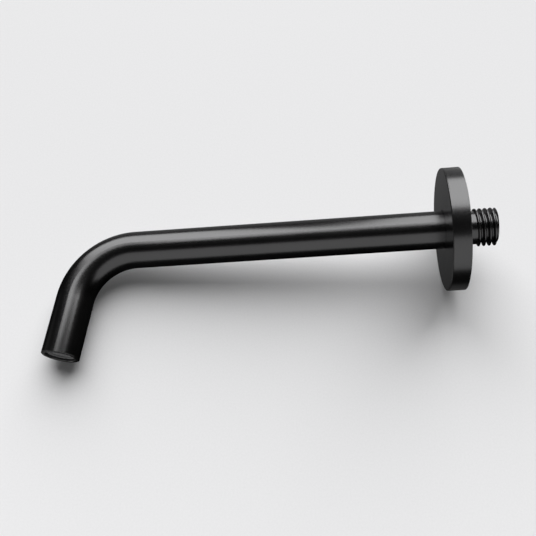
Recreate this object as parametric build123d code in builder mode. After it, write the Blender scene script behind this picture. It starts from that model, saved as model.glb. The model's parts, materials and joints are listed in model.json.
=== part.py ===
"""Bath spout: a bent round tube with a threaded inlet, a loose wall flange and a concealed aerator.

Millimetres. The wall plane is y = 0, the arm reaches along -Y, the inlet points along +Y and the outlet
points down. The origin is where the inlet axis meets the wall plane.
"""
import os
from math import cos, radians, sin

from build123d import *

# Spout tube, sized at its centreline
tube_diameter = 21.0
tube_wall = 1.5
arm_length = 183.0
bend_radius = 34.5
bend_angle = 80.0
leg_length = 33.5
tube_setback = 2.5
outlet_round = 0.4

# Inlet nipple, brazed into the tube and ending in a half-inch pipe thread
thread_diameter = 20.955
thread_length = 12.0
thread_chamfer = 0.6
thread_runout = 1.0
neck_length = 7.0
neck_undercut = 1.28
spigot_length = 9.0
collar_length = 2.0
inlet_bore = 12.0
inlet_bore_chamfer = 0.8
braze_gap = 0.03

# Wall flange, a turned disc that slides on the tube
flange_diameter = 68.0
flange_thickness = 9.7
flange_web = 4.0
flange_rim = 4.0
flange_round = 0.7
flange_back_round = 0.2
flange_bore_gap = 0.15
flange_bore_chamfer = 0.4
hub_wall = 3.0
hub_inset = 0.3
recess_round = 1.0

# Rubber ring in the flange that grips the tube
ring_section = 2.0
ring_gap = 0.05
groove_side_gap = 0.3

# Outlet bush, brazed into the tube and threaded for the aerator
bush_wall = 0.7
bush_shoulder = 2.0
bush_shoulder_width = 1.6
bush_chamfer = 0.25

# Aerator housing, screwed into the bush below the rim
aerator_recess = 1.3
aerator_gap = 0.05
housing_wall = 1.7
housing_lip = 0.8
housing_lip_width = 0.6
housing_chamfer = 0.3
key_notches = 8
key_notch_width = 1.5
key_notch_depth = 0.7

# Honeycomb straightener at the housing's mouth
insert_gap = 0.05
grid_height = 2.5
grid_rim = 0.6
cell_flats = 1.2
cell_web = 0.35

# Jet plate, a cup that stands on the straightener
mixing_height = 2.7
jet_plate_height = 1.5
jet_skirt_wall = 0.9
jet_hole = 1.0
outer_jets = 16
outer_jet_radius = 4.6
inner_jets = 8
inner_jet_radius = 2.5

# Strainer above the jet plate
strainer_flange = 0.6
strainer_height = 2.6
strainer_wall = 0.6
strainer_taper = 1.2
strainer_hole = 0.9
strainer_flange_width = 2.6
strainer_row_pitch = 1.35
strainer_rows = 2
strainer_holes_per_row = 6

# Seal between the strainer and the bush's shoulder
seal_height = 1.5
seal_width = 2.2
seal_gap = 0.2

# Radii and stations that follow from the sizes above
tube_radius = tube_diameter / 2
tube_bore_radius = tube_radius - tube_wall
thread_radius = thread_diameter / 2
neck_radius = thread_radius - neck_undercut
thread_end = neck_length + thread_length
collar_end = collar_length - tube_setback
spigot_end = -tube_setback - spigot_length

bend_cos = cos(radians(bend_angle))
bend_sin = sin(radians(bend_angle))
bend_end_y = -arm_length - bend_radius * bend_sin
bend_end_z = -bend_radius * (1 - bend_cos)
outlet_y = bend_end_y - leg_length * bend_cos
outlet_z = bend_end_z - leg_length * bend_sin

flange_radius = flange_diameter / 2
flange_bore_radius = tube_radius + flange_bore_gap
ring_inner_radius = tube_radius + ring_gap
ring_middle_radius = ring_inner_radius + ring_section / 2
groove_radius = ring_inner_radius + ring_section + ring_gap
groove_width = ring_section + 2 * groove_side_gap
hub_radius = groove_radius + hub_wall
recess_depth = flange_thickness - flange_web
recess_width = flange_radius - flange_rim - hub_radius

bush_radius = tube_bore_radius - braze_gap
bush_bore_radius = bush_radius - bush_wall
housing_radius = bush_bore_radius - aerator_gap
housing_bore_radius = housing_radius - housing_wall
insert_radius = housing_bore_radius - insert_gap

grid_depth = aerator_recess + housing_lip
skirt_depth = grid_depth + grid_height
jet_plate_depth = skirt_depth + mixing_height
strainer_depth = jet_plate_depth + jet_plate_height
basket_depth = strainer_depth + strainer_flange
seal_depth = basket_depth
shoulder_depth = seal_depth + seal_height
bush_length = shoulder_depth + bush_shoulder
seal_radius = bush_bore_radius - seal_gap
strainer_radius = seal_radius
basket_radius = strainer_radius - strainer_flange_width
basket_top_radius = basket_radius - strainer_taper

# Planes at the outlet: its face looking up the leg, and a profile plane through its axis
outlet_centre = (0, outlet_y, outlet_z)
up_the_leg = (0, bend_cos, bend_sin)
outlet_face = Plane(origin=outlet_centre, x_dir=(1, 0, 0), z_dir=up_the_leg)
outlet_profile = Plane(origin=outlet_centre, x_dir=(1, 0, 0), z_dir=(0, -bend_sin, bend_cos))
outlet_axis = Axis(outlet_centre, up_the_leg)


def ring(inner, outer, low, high, mode=Mode.ADD):
    """Half section of a turned ring: a rectangle between two radii and two stations along the axis."""
    with Locations((inner, low)):
        Rectangle(outer - inner, high - low, align=(Align.MIN, Align.MIN), mode=mode)


# Spout tube: one drawn tube with a straight arm, one bend and a straight leg
with BuildPart() as spout_tube:
    with BuildLine(Plane.YZ):
        Line((-tube_setback, 0), (-arm_length, 0))
        JernArc((-arm_length, 0), (-1, 0), bend_radius, bend_angle)
        Line((bend_end_y, bend_end_z), (outlet_y, outlet_z))
    with BuildSketch(Plane.XZ.offset(tube_setback)):
        Circle(tube_radius)
        Circle(tube_bore_radius, mode=Mode.SUBTRACT)
    sweep()
    outlet_rim = spout_tube.faces().filter_by(GeomType.PLANE).sort_by(Axis.Z)[0]
    fillet(outlet_rim.outer_wire().edges(), outlet_round)
spout_tube.part.label = "spout_tube"

# Inlet nipple: spigot in the tube, collar against its end, plain neck and the thread at its crest diameter
with BuildPart() as inlet_nipple:
    with BuildSketch(Plane.XY):
        ring(0, bush_radius, spigot_end, -tube_setback)
        ring(0, tube_radius, -tube_setback, collar_end)
        ring(0, neck_radius, collar_end, neck_length)
        with BuildLine():
            Polyline(
                (0, neck_length),
                (neck_radius, neck_length),
                (thread_radius, neck_length + thread_runout),
                (thread_radius, thread_end - thread_chamfer),
                (thread_radius - thread_chamfer, thread_end),
                (0, thread_end),
                close=True,
            )
        make_face()
        ring(0, inlet_bore / 2, spigot_end, thread_end, Mode.SUBTRACT)
    revolve(axis=Axis.Y)
    inlet_mouth = inlet_nipple.faces().filter_by(GeomType.PLANE).sort_by(Axis.Y)[-1]
    chamfer(inlet_mouth.inner_wires()[0].edges(), inlet_bore_chamfer)
inlet_nipple.part.label = "inlet_nipple"

# Wall flange: thick disc, hollow behind, with a grooved hub that runs on the tube
with BuildPart() as wall_flange:
    with BuildSketch(Plane.XY):
        ring(flange_bore_radius, flange_radius, -flange_thickness, 0)
        ring(flange_bore_radius, hub_radius, -hub_inset, 0, Mode.SUBTRACT)
        with Locations((flange_bore_radius, -flange_thickness / 2)):
            groove_depth = groove_radius - flange_bore_radius
            Rectangle(groove_depth, groove_width, align=(Align.MIN, Align.CENTER), mode=Mode.SUBTRACT)
    revolve(axis=Axis.Y)
    with BuildSketch(Plane.XY):
        with Locations((hub_radius, -recess_depth)):
            RectangleRounded(
                recess_width, recess_depth + recess_round, recess_round, align=(Align.MIN, Align.MIN)
            )
    revolve(axis=Axis.Y, mode=Mode.SUBTRACT)
    front_face = wall_flange.faces().filter_by(GeomType.PLANE).sort_by(Axis.Y)[0]
    chamfer(front_face.inner_wires()[0].edges(), flange_bore_chamfer)
    rim_edges = wall_flange.edges().filter_by(GeomType.CIRCLE).group_by(SortBy.RADIUS)[-1].sort_by(Axis.Y)
    fillet(rim_edges[0], flange_round)
    fillet(rim_edges[-1], flange_back_round)
wall_flange.part.label = "wall_flange"

# Flange ring: a round-section rubber ring in the hub's groove
with BuildPart() as flange_o_ring:
    with BuildSketch(Plane.XY):
        with Locations((ring_middle_radius, -flange_thickness / 2)):
            Circle(ring_section / 2)
    revolve(axis=Axis.Y)
flange_o_ring.part.label = "flange_o_ring"

# Outlet bush: flush with the tube's end, with a shoulder for the seal
with BuildPart() as outlet_bush:
    with BuildSketch(outlet_profile):
        ring(bush_bore_radius, bush_radius, 0, bush_length)
        ring(bush_bore_radius - bush_shoulder_width, bush_radius, shoulder_depth, bush_length)
    revolve(axis=outlet_axis)
    bush_mouth = outlet_bush.faces().filter_by(GeomType.PLANE).sort_by(Axis.Z)[0]
    chamfer(bush_mouth.inner_wires()[0].edges(), bush_chamfer)
outlet_bush.part.label = "outlet_bush"

# Aerator housing: a ring with a lip at the mouth and notches for the fitting key
with BuildPart() as aerator_housing:
    with BuildSketch(outlet_profile):
        ring(housing_bore_radius, housing_radius, aerator_recess, strainer_depth)
        ring(housing_bore_radius - housing_lip_width, housing_radius, aerator_recess, grid_depth)
    revolve(axis=outlet_axis)
    housing_mouth = aerator_housing.faces().filter_by(GeomType.PLANE).sort_by(Axis.Z)[0]
    chamfer(housing_mouth.edges(), housing_chamfer)
    with BuildSketch(outlet_face.offset(aerator_recess)):
        with PolarLocations(housing_radius, key_notches):
            Rectangle(housing_wall, key_notch_width)
    extrude(amount=key_notch_depth, mode=Mode.SUBTRACT)
aerator_housing.part.label = "aerator_housing"

# Straightener: a disc of hexagonal cells, as many as fit inside its rim
cell_pitch = cell_flats + cell_web
cell_field_radius = insert_radius - grid_rim - cell_flats / 2
cells_across = 2 * int(insert_radius / cell_pitch) + 1
cell_lattice = HexLocations(cell_pitch / 2, cells_across, cells_across).local_locations
cell_places = [place for place in cell_lattice if place.position.length <= cell_field_radius]

with BuildPart() as aerator_grid:
    with BuildSketch(outlet_face.offset(grid_depth)):
        Circle(insert_radius)
        with Locations(*cell_places):
            RegularPolygon(cell_flats / 2, 6, major_radius=False, rotation=30, mode=Mode.SUBTRACT)
    extrude(amount=grid_height)
aerator_grid.part.label = "aerator_grid"

# Jet plate: a cup with two rings of jet holes over the mixing space
with BuildPart() as aerator_jet_plate:
    with BuildSketch(outlet_profile):
        ring(insert_radius - jet_skirt_wall, insert_radius, skirt_depth, jet_plate_depth)
        ring(0, insert_radius, jet_plate_depth, strainer_depth)
    revolve(axis=outlet_axis)
    with BuildSketch(outlet_face.offset(jet_plate_depth)):
        with PolarLocations(outer_jet_radius, outer_jets):
            Circle(jet_hole / 2)
        with PolarLocations(inner_jet_radius, inner_jets):
            Circle(jet_hole / 2)
    extrude(amount=jet_plate_height, mode=Mode.SUBTRACT)
aerator_jet_plate.part.label = "aerator_jet_plate"

# Strainer: a flanged basket that rises through the seal, with rings of holes in its crown
with BuildPart() as aerator_strainer:
    with BuildSketch(outlet_profile):
        ring(basket_radius - strainer_wall, strainer_radius, strainer_depth, basket_depth)
        with BuildLine():
            crown_depth = basket_depth + strainer_height
            Polyline(
                (basket_radius, basket_depth),
                (basket_top_radius, crown_depth),
                (0, crown_depth),
                (0, crown_depth - strainer_wall),
                (basket_top_radius - strainer_wall, crown_depth - strainer_wall),
                (basket_radius - strainer_wall, basket_depth),
                close=True,
            )
        make_face()
    revolve(axis=outlet_axis)
    with BuildSketch(outlet_face.offset(crown_depth - strainer_wall)):
        Circle(strainer_hole / 2)
        for row in range(1, strainer_rows + 1):
            with PolarLocations(row * strainer_row_pitch, row * strainer_holes_per_row):
                Circle(strainer_hole / 2)
    extrude(amount=strainer_wall, mode=Mode.SUBTRACT)
aerator_strainer.part.label = "aerator_strainer"

# Seal: a flat rubber washer squeezed between the strainer's flange and the bush
with BuildPart() as aerator_seal:
    with BuildSketch(outlet_profile):
        ring(seal_radius - seal_width, seal_radius, seal_depth, shoulder_depth)
    revolve(axis=outlet_axis)
aerator_seal.part.label = "aerator_seal"

os.makedirs("parts", exist_ok=True)
export_step(spout_tube.part, "parts/spout_tube.step")
export_step(inlet_nipple.part, "parts/inlet_nipple.step")
export_step(wall_flange.part, "parts/wall_flange.step")
export_step(flange_o_ring.part, "parts/flange_o_ring.step")
export_step(outlet_bush.part, "parts/outlet_bush.step")
export_step(aerator_housing.part, "parts/aerator_housing.step")
export_step(aerator_grid.part, "parts/aerator_grid.step")
export_step(aerator_jet_plate.part, "parts/aerator_jet_plate.step")
export_step(aerator_strainer.part, "parts/aerator_strainer.step")
export_step(aerator_seal.part, "parts/aerator_seal.step")
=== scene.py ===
"""Looks of the bath spout: finishes, the helical thread, a plain studio and the photograph's camera."""
import json
from math import cos, pi, radians, sin, tau

import bpy
from mathutils import Matrix, Vector


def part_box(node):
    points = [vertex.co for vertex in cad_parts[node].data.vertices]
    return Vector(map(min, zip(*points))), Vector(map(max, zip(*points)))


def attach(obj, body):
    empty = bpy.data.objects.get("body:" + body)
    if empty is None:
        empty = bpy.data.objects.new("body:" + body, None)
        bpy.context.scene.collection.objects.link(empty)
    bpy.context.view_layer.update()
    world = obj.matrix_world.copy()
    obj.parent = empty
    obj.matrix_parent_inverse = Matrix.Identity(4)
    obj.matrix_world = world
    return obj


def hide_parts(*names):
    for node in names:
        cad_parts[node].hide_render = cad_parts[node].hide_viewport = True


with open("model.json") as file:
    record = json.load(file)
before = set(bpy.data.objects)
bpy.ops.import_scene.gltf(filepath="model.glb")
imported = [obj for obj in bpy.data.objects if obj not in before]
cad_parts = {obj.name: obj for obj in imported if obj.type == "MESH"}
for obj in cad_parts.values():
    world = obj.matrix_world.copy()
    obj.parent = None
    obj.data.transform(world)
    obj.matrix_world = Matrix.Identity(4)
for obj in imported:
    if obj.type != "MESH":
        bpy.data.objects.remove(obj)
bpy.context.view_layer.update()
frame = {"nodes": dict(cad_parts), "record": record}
scene = bpy.context.scene
nodes = frame["nodes"]

MM = 0.001

# Camera solved from the photograph's edges: a 50 mm lens on a 36 mm sensor, rolled a little
CAMERA_AZIMUTH = radians(95.34)
CAMERA_ELEVATION = radians(-23.485)
CAMERA_ROLL = radians(-1.48)
CAMERA_DISTANCE = 414.575 * MM
CAMERA_TARGET = Vector((0, -107.59, -16.43)) * MM
CAMERA_LENS = 50.0
SENSOR_WIDTH = 36.0
CLIP_START = 0.01
CLIP_END = 20

# Inlet nipple and its thread, along +Y, with turns counted from the first crest on the upper side
THREAD_RADIUS = frame["record"]["mounts"][0]["dims"]["r_mm"] * MM
THREAD_PITCH = 2.87 * MM
THREAD_DEPTH = 1.95 * MM
THREAD_END_ROUND = 0.6 * MM
FIRST_CREST = 7.67 * MM
FIRST_CREST_ANGLE = radians(25.5)
RIDGE_START = -0.32
RIDGE_GROWTH = 0.25
NECK_RADIUS = THREAD_RADIUS - 1.28 * MM
NECK_PLAIN_END = 5.2 * MM
COLLAR_RADIUS = 10.5 * MM
SPIGOT_RADIUS = 8.97 * MM
BORE_RADIUS = 6.0 * MM
BORE_CHAMFER = 0.8 * MM
COLLAR_START = -2.5 * MM
COLLAR_END = -0.5 * MM
THREAD_STEPS = 220
RING_STEPS = 144
SHARP_ANGLE = radians(40)

# Scales of the textures, in features per metre
METAL_CLOUDS = 60
METAL_GRAIN = 9000
TUBE_HAIRLINES = (4000, 300, 4000)
TURNED_HAIRLINES = 3000
PLASTIC_MOTTLE = 400
PLASTIC_GRAIN = 6000
RUBBER_BLOOM = 300
RUBBER_GRAIN = 5000
FLOOR_SPECKLE = 900

# Finishes: the greys and the roughness that each runs between, and the strength and depth of its bump
GREY_BLUENESS = 1.01
METAL_GREYS = (0.111, 0.119)
METAL_ROUGHNESS = (0.22, 0.26)
HAIRLINE_ROUGHNESS = (-0.02, 0.03)
GRAIN_SHARE = 0.5
METAL_BUMP = (0.08, 0.02 * MM)
HOUSING_GREYS = (0.12, 0.16)
HOUSING_ROUGHNESS = (0.39, 0.51)
INSERT_GREYS = (0.24, 0.30)
INSERT_ROUGHNESS = (0.34, 0.46)
PLASTIC_BUMP = (0.2, 0.03 * MM)
RUBBER_GREYS = (0.012, 0.03)
RUBBER_ROUGHNESS = (0.55, 0.75)
RUBBER_BUMP = (0.25, 0.04 * MM)
FLOOR_GREYS = (0.74, 0.80)
FLOOR_ROUGHNESS = 0.9

# Floor that the flange's rim and the leg lie on, its light, and the light levels of the room
FLOOR_TURN = radians(6.3)
FLOOR_DISTANCE = 35.2 * MM
FLOOR_HALF = 0.9
FLOOR_FADE_START = 0.3
FLOOR_LIGHT = 5.1
FLOOR_LIGHT_ABOVE = 72
FLOOR_LIGHT_SPREAD = 76
FLOOR_FILL = 0.045
BACKDROP_LIGHT = 0.83
ROOM_LIGHT = 0.01
GLOW_LIGHT = 0.24
GLOW_ABOVE = 144
GLOW_REACH = 46

# Soft boxes, with corners in metres across and along a plane square to the box's direction;
# the two keys overlap at the bottom and leave a wedge open between them at the top
KEY_ABOVE = 68
KEY_DISTANCE = 0.56
PANEL_DISTANCE = 0.8
LEFT_KEY = [(-0.280, -0.370), (0.045, -0.298), (-0.150, 0.330), (-0.700, 0.330)]
RIGHT_KEY = [(-0.036, -0.297), (0.345, -0.390), (0.520, 0.350), (0.083, 0.350)]
LOW = [(-0.66, -0.50), (1.60, -0.50), (1.60, 0.62), (-0.66, 0.46)]
REAR = [(-0.37, -0.30), (0.20, -0.30), (0.20, 0.30), (-0.37, 0.30)]
CARD_TARGET = Vector((0, -280, -75)) * MM
CARD_DISTANCE = 38 * MM
CARD_HALF = 35 * MM


def camera_axes():
    """Right, up and back directions of the photograph's camera, with its roll."""
    back = Vector((
        sin(CAMERA_AZIMUTH) * cos(CAMERA_ELEVATION),
        -cos(CAMERA_AZIMUTH) * cos(CAMERA_ELEVATION),
        sin(CAMERA_ELEVATION),
    ))
    level = Vector((0, 0, 1)).cross(back).normalized()
    upright = back.cross(level)
    right = level * cos(CAMERA_ROLL) + upright * sin(CAMERA_ROLL)
    up = upright * cos(CAMERA_ROLL) - level * sin(CAMERA_ROLL)
    return right, up, back


RIGHT, UP, BACK = camera_axes()


def away_from_camera(above, aside):
    """Direction from the spout, in degrees above the camera's axis and then aside to its right."""
    level = BACK * cos(radians(above)) + UP * sin(radians(above))
    return level * cos(radians(aside)) + RIGHT * sin(radians(aside))


def facing(place, z_axis):
    """Matrix at a place whose local Z is z_axis and whose local X is close to the camera's right."""
    x_axis = (RIGHT - z_axis * RIGHT.dot(z_axis)).normalized()
    y_axis = z_axis.cross(x_axis)
    turn = Matrix((x_axis, y_axis, z_axis)).transposed()
    return Matrix.Translation(place) @ turn.to_4x4()


def add_camera():
    data = bpy.data.cameras.new("photo_camera")
    data.lens = CAMERA_LENS
    data.sensor_width = SENSOR_WIDTH
    data.clip_start = CLIP_START
    data.clip_end = CLIP_END
    camera = bpy.data.objects.new("photo_camera", data)
    turn = Matrix((RIGHT, UP, BACK)).transposed()
    camera.matrix_world = Matrix.Translation(CAMERA_TARGET + BACK * CAMERA_DISTANCE) @ turn.to_4x4()
    scene.collection.objects.link(camera)
    scene.camera = camera


def link_mesh(name, vertices, faces, smooth=True):
    mesh = bpy.data.meshes.new(name)
    mesh.from_pydata(vertices, [], faces)
    mesh.polygons.foreach_set("use_smooth", [smooth] * len(faces))
    mesh.update()
    piece = bpy.data.objects.new(name, mesh)
    scene.collection.objects.link(piece)
    return piece


def rectangle(half_width, half_height):
    """Corners of a rectangle round the origin."""
    return [
        (-half_width, -half_height),
        (half_width, -half_height),
        (half_width, half_height),
        (-half_width, half_height),
    ]


def grey(value):
    return (value, value, value * GREY_BLUENESS, 1.0)


class Graph:
    """The node tree of a material or a world, with short calls to add and link nodes."""

    def __init__(self, owner, output="ShaderNodeOutputMaterial"):
        owner.use_nodes = True
        self.owner = owner
        self.tree = owner.node_tree
        self.tree.nodes.clear()
        self.output = self.tree.nodes.new(output)

    def add(self, kind, inputs=None, **settings):
        node = self.tree.nodes.new(kind)
        for key, value in settings.items():
            setattr(node, key, value)
        for key, value in (inputs or {}).items():
            self.set(node.inputs[key], value)
        return node

    def set(self, socket, value):
        if isinstance(value, bpy.types.NodeSocket):
            self.tree.links.new(value, socket)
        else:
            socket.default_value = value

    def place(self):
        """Object coordinates, in metres."""
        return self.add("ShaderNodeTexCoord").outputs["Object"]

    def noise(self, scale, detail):
        """Noise with so many features per metre, as one number or one for each axis."""
        scales = scale if isinstance(scale, tuple) else (scale, scale, scale)
        mapping = self.add("ShaderNodeMapping", {"Vector": self.place(), "Scale": scales})
        inputs = {"Vector": mapping.outputs["Vector"], "Scale": 1.0, "Detail": detail}
        return self.add("ShaderNodeTexNoise", inputs).outputs["Fac"]

    def remap(self, value, low, high, start=0.0, end=1.0, **settings):
        """Value that runs from low to high while the given one runs from start to end."""
        inputs = {"Value": value, "From Min": start, "From Max": end, "To Min": low, "To Max": high}
        return self.add("ShaderNodeMapRange", inputs, **settings).outputs["Result"]

    def math(self, operation, first, second):
        return self.add("ShaderNodeMath", {0: first, 1: second}, operation=operation).outputs[0]

    def mottle(self, factor, greys):
        """Colour that runs between two greys."""
        low, high = greys
        inputs = {"Factor": factor, "A": grey(low), "B": grey(high)}
        return self.add("ShaderNodeMix", inputs, data_type="RGBA").outputs["Result"]

    def bump(self, height, strength, distance):
        inputs = {"Height": height, "Strength": strength, "Distance": distance}
        return self.add("ShaderNodeBump", inputs).outputs["Normal"]

    def principled(self, inputs):
        return self.add("ShaderNodeBsdfPrincipled", inputs)

    def mix(self, factor, first, second):
        """Shader that goes from the first to the second as the factor goes from 0 to 1."""
        return self.add("ShaderNodeMixShader", {0: factor, 1: first.outputs[0], 2: second.outputs[0]})

    def finish(self, shader):
        """Put the shader on the surface, and give the finished material or world."""
        self.tree.links.new(shader.outputs[0], self.output.inputs["Surface"])
        return self.owner


def gunmetal(name, hairline_scale):
    """Dark coated brass, satin: faint cloudiness, a fine grain and hairlines of the given scale."""
    graph = Graph(bpy.data.materials.new(name))
    cloud = graph.noise(METAL_CLOUDS, detail=4)
    grain = graph.noise(METAL_GRAIN, detail=2)
    hairlines = graph.noise(hairline_scale, detail=3)
    smear = graph.remap(cloud, *METAL_ROUGHNESS)
    brushing = graph.remap(hairlines, *HAIRLINE_ROUGHNESS)
    height = graph.math("ADD", graph.math("MULTIPLY", grain, GRAIN_SHARE), hairlines)
    return graph.finish(graph.principled({
        "Base Color": graph.mottle(cloud, METAL_GREYS),
        "Metallic": 1.0,
        "Roughness": graph.math("ADD", smear, brushing),
        "Normal": graph.bump(height, *METAL_BUMP),
    }))


def moulded(name, greys, roughness):
    """Moulded plastic with a spark-eroded grain."""
    graph = Graph(bpy.data.materials.new(name))
    mottle = graph.noise(PLASTIC_MOTTLE, detail=3)
    grain = graph.noise(PLASTIC_GRAIN, detail=3)
    return graph.finish(graph.principled({
        "Base Color": graph.mottle(mottle, greys),
        "Roughness": graph.remap(grain, *roughness),
        "Normal": graph.bump(grain, *PLASTIC_BUMP),
    }))


def rubber(name):
    """Black moulded rubber with a dusty bloom."""
    graph = Graph(bpy.data.materials.new(name))
    bloom = graph.noise(RUBBER_BLOOM, detail=4)
    grain = graph.noise(RUBBER_GRAIN, detail=2)
    return graph.finish(graph.principled({
        "Base Color": graph.mottle(bloom, RUBBER_GREYS),
        "Roughness": graph.remap(bloom, *RUBBER_ROUGHNESS),
        "Normal": graph.bump(grain, *RUBBER_BUMP),
    }))


def dress(node, material):
    slots = nodes[node].data.materials
    slots.clear()
    slots.append(material)


def dress_nodes():
    """Give each piece that the frame brings its finish."""
    tube_metal = gunmetal("gunmetal_tube", TUBE_HAIRLINES)
    dress("spout_tube", tube_metal)
    dress("wall_flange", gunmetal("gunmetal_flange", TURNED_HAIRLINES))
    dress("outlet_bush", tube_metal)
    dress("flange_o_ring", rubber("seal_rubber"))
    dress("aerator_seal", rubber("washer_rubber"))
    dress("aerator_housing", moulded("housing_plastic", HOUSING_GREYS, HOUSING_ROUGHNESS))
    insert_plastic = moulded("insert_plastic", INSERT_GREYS, INSERT_ROUGHNESS)
    dress("aerator_grid", insert_plastic)
    dress("aerator_jet_plate", insert_plastic)
    dress("aerator_strainer", insert_plastic)


def ridge_height(turns):
    """Share of its full height that the thread's ridge has reached at a number of turns."""
    return min(1, max(0, (turns - RIDGE_START) / RIDGE_GROWTH))


def thread_radius(y, angle, thread_end):
    """Radius of the right-hand thread: a ridge, rounded at crest and root, that grows out of the neck."""
    round_turn = (angle - FIRST_CREST_ANGLE) / tau
    turns = (y - FIRST_CREST) / THREAD_PITCH - round_turn
    ridge = round(turns)
    height = ridge_height(ridge + round_turn)
    groove = height if turns > ridge else ridge_height(ridge + round_turn - 1)
    crest = NECK_RADIUS + (THREAD_RADIUS - NECK_RADIUS) * height
    root = NECK_RADIUS + (THREAD_RADIUS - THREAD_DEPTH - NECK_RADIUS) * groove
    flank = crest - THREAD_DEPTH * (1 - sin(pi / 2 * cos(tau * turns))) / 2
    to_end = max(0, y - (thread_end - THREAD_END_ROUND)) / THREAD_END_ROUND
    return min(max(flank, root), THREAD_RADIUS - THREAD_END_ROUND * to_end ** 2)


def add_nipple():
    """Inlet nipple with its helical thread: one closed skin, ring after ring round the profile."""
    spigot_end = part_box("inlet_nipple")[0].y
    thread_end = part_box("inlet_nipple")[1].y
    rows = [(spigot_end, BORE_RADIUS), (spigot_end, SPIGOT_RADIUS), (COLLAR_START, SPIGOT_RADIUS)]
    rows += [(COLLAR_START, COLLAR_RADIUS), (COLLAR_END, COLLAR_RADIUS), (COLLAR_END, NECK_RADIUS)]
    for step in range(THREAD_STEPS + 1):
        rows.append((NECK_PLAIN_END + (thread_end - NECK_PLAIN_END) * step / THREAD_STEPS, None))
    rows += [(thread_end, BORE_RADIUS + BORE_CHAMFER), (thread_end - BORE_CHAMFER, BORE_RADIUS)]
    vertices = []
    for y, radius in rows:
        for step in range(RING_STEPS):
            angle = tau * step / RING_STEPS
            reach = thread_radius(y, angle, thread_end) if radius is None else radius
            vertices.append((reach * sin(angle), y, reach * cos(angle)))
    faces = []
    for row in range(len(rows)):
        low = row * RING_STEPS
        high = (row + 1) % len(rows) * RING_STEPS
        for step in range(RING_STEPS):
            after = (step + 1) % RING_STEPS
            faces.append((low + step, high + step, high + after, low + after))
    piece = link_mesh("threaded_nipple", vertices, faces)
    piece.data.set_sharp_from_angle(angle=SHARP_ANGLE)
    piece.data.materials.append(gunmetal("gunmetal_nipple", TURNED_HAIRLINES))
    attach(piece, "spout")
    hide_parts("inlet_nipple")
    return piece


def floor_paint():
    """Matt pale paint, seen only from above the floor and fading out far from the spout."""
    graph = Graph(bpy.data.materials.new("pale_floor"))
    paint = graph.principled({
        "Base Color": graph.mottle(graph.noise(FLOOR_SPECKLE, detail=4), FLOOR_GREYS),
        "Roughness": FLOOR_ROUGHNESS,
        "Specular IOR Level": 0.0,
        "Emission Strength": FLOOR_FILL,
    })
    clear = graph.add("ShaderNodeBsdfTransparent")
    below = graph.add("ShaderNodeNewGeometry").outputs["Backfacing"]
    away = graph.add("ShaderNodeVectorMath", {0: graph.place()}, operation="LENGTH").outputs["Value"]
    faded = graph.remap(away, 0, 1, FLOOR_FADE_START, FLOOR_HALF)
    return graph.finish(graph.mix(graph.math("MAXIMUM", below, faded), paint, clear))


def add_floor():
    """Plain pale floor that the spout lies on."""
    corners = [(0, y, z) for y, z in rectangle(FLOOR_HALF, FLOOR_HALF)]
    floor = link_mesh("pale_floor", corners, [(0, 1, 2, 3)], smooth=False)
    normal = Vector((cos(FLOOR_TURN), sin(FLOOR_TURN), 0))
    place = CAMERA_TARGET - normal * (CAMERA_TARGET.dot(normal) + FLOOR_DISTANCE)
    floor.matrix_world = Matrix.Translation(place) @ Matrix.Rotation(FLOOR_TURN, 4, "Z")
    floor.data.materials.append(floor_paint())
    floor.visible_glossy = False
    floor.visible_shadow = False
    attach(floor, "flange_ring")
    return floor


def light_only(light, pieces):
    """Let a light or a glowing panel fall on these pieces alone."""
    receivers = bpy.data.collections.new(light.name + "_receivers")
    for piece in pieces:
        receivers.objects.link(piece)
    light.light_linking.receiver_collection = receivers


def add_floor_light(floor):
    """Even, soft light from above the camera, on the floor alone, that gives the spout its shadow."""
    data = bpy.data.lights.new("floor_light", "SUN")
    data.energy = FLOOR_LIGHT
    data.angle = radians(FLOOR_LIGHT_SPREAD)
    light = bpy.data.objects.new("floor_light", data)
    direction = away_from_camera(FLOOR_LIGHT_ABOVE, 0)
    light.matrix_world = facing(CAMERA_TARGET + direction, direction)
    scene.collection.objects.link(light)
    light_only(light, [floor])


def add_panel(
    name, pieces, above, aside, corners, radiance, distance=PANEL_DISTANCE, target=CAMERA_TARGET
):
    """Soft box that these pieces alone see: a glowing plane square to its direction from the target."""
    direction = away_from_camera(above, aside)
    graph = Graph(bpy.data.materials.new(name))
    glow = graph.add("ShaderNodeEmission", {"Strength": radiance})
    vertices = [(across, along, 0) for across, along in corners]
    panel = link_mesh(name, vertices, [range(len(vertices))], smooth=False)
    panel.matrix_world = facing(target + direction * distance, direction)
    panel.data.materials.append(graph.finish(glow))
    panel.visible_camera = False
    panel.visible_shadow = False
    light_only(panel, pieces)


def add_keys(pieces):
    """Soft boxes above and below the camera, which make the bright bands in the photograph's view."""
    add_panel(
        "left_key_panel", pieces, above=KEY_ABOVE, aside=0, corners=LEFT_KEY,
        radiance=2.85, distance=KEY_DISTANCE,
    )
    add_panel(
        "right_key_panel", pieces, above=KEY_ABOVE, aside=0, corners=RIGHT_KEY,
        radiance=2.8, distance=KEY_DISTANCE,
    )
    add_panel("low_panel", pieces, above=-48, aside=0, corners=LOW, radiance=0.58)


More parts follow.
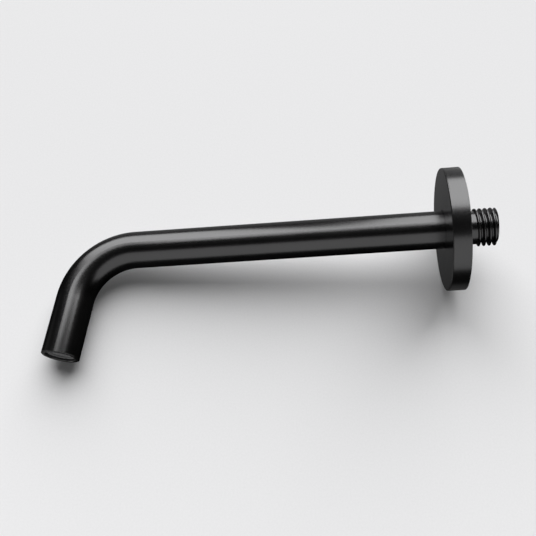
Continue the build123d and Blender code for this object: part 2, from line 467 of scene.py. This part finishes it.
def add_dim_panels(pieces, flange, nipple):
    """Soft boxes round the spout, which its sides, its back, the flange's faces and the outlet mirror."""
    square = rectangle(0.26, 0.26)
    others = [piece for piece in pieces if piece != flange]
    add_panel("rear_panel", pieces, above=127, aside=45, corners=REAR, radiance=1.5)
    add_panel("front_panel", pieces, above=0, aside=-80, corners=rectangle(0.37, 0.30), radiance=0.09)
    add_panel("low_side_panel", others, above=-105, aside=-55, corners=rectangle(0.40, 0.35), radiance=0.9)
    add_panel("wall_side_panel", [flange, nipple], above=-40, aside=76, corners=square, radiance=0.9)
    add_panel("face_panel", [flange], above=-137, aside=-46, corners=rectangle(0.50, 0.30), radiance=0.33)
    add_panel("rim_panel", [flange], above=-146, aside=18, corners=rectangle(0.22, 0.28), radiance=0.085)
    add_panel("back_panel", [flange], above=4, aside=52, corners=square, radiance=0.9)
    add_panel(
        "outlet_card", pieces, above=-156.5, aside=5.3, corners=rectangle(CARD_HALF, CARD_HALF),
        radiance=0.08, distance=CARD_DISTANCE, target=CARD_TARGET,
    )


def add_world():
    """Pale backdrop for the camera; for the metal, a dim room with a soft glow from behind and above."""
    graph = Graph(bpy.data.worlds.new("studio"), output="ShaderNodeOutputWorld")
    way = graph.add("ShaderNodeTexCoord").outputs["Generated"]
    inputs = {0: way, 1: away_from_camera(GLOW_ABOVE, 0)}
    towards = graph.add("ShaderNodeVectorMath", inputs, operation="DOT_PRODUCT").outputs["Value"]
    reach = cos(radians(GLOW_REACH))
    glow = graph.remap(towards, ROOM_LIGHT, GLOW_LIGHT, reach, 1.0, interpolation_type="SMOOTHSTEP")
    room = graph.add("ShaderNodeBackground", {"Color": grey(1.0), "Strength": glow})
    pale = graph.add("ShaderNodeBackground", {"Color": grey(BACKDROP_LIGHT)})
    seen = graph.add("ShaderNodeLightPath").outputs["Is Camera Ray"]
    scene.world = graph.finish(graph.mix(seen, room, pale))


add_camera()
add_world()
add_floor_light(add_floor())
dress_nodes()
threaded_nipple = add_nipple()
all_pieces = [threaded_nipple] + list(nodes.values())
add_keys(all_pieces)
add_dim_panels(all_pieces, nodes["wall_flange"], threaded_nipple)

scene.view_settings.view_transform = "Standard"
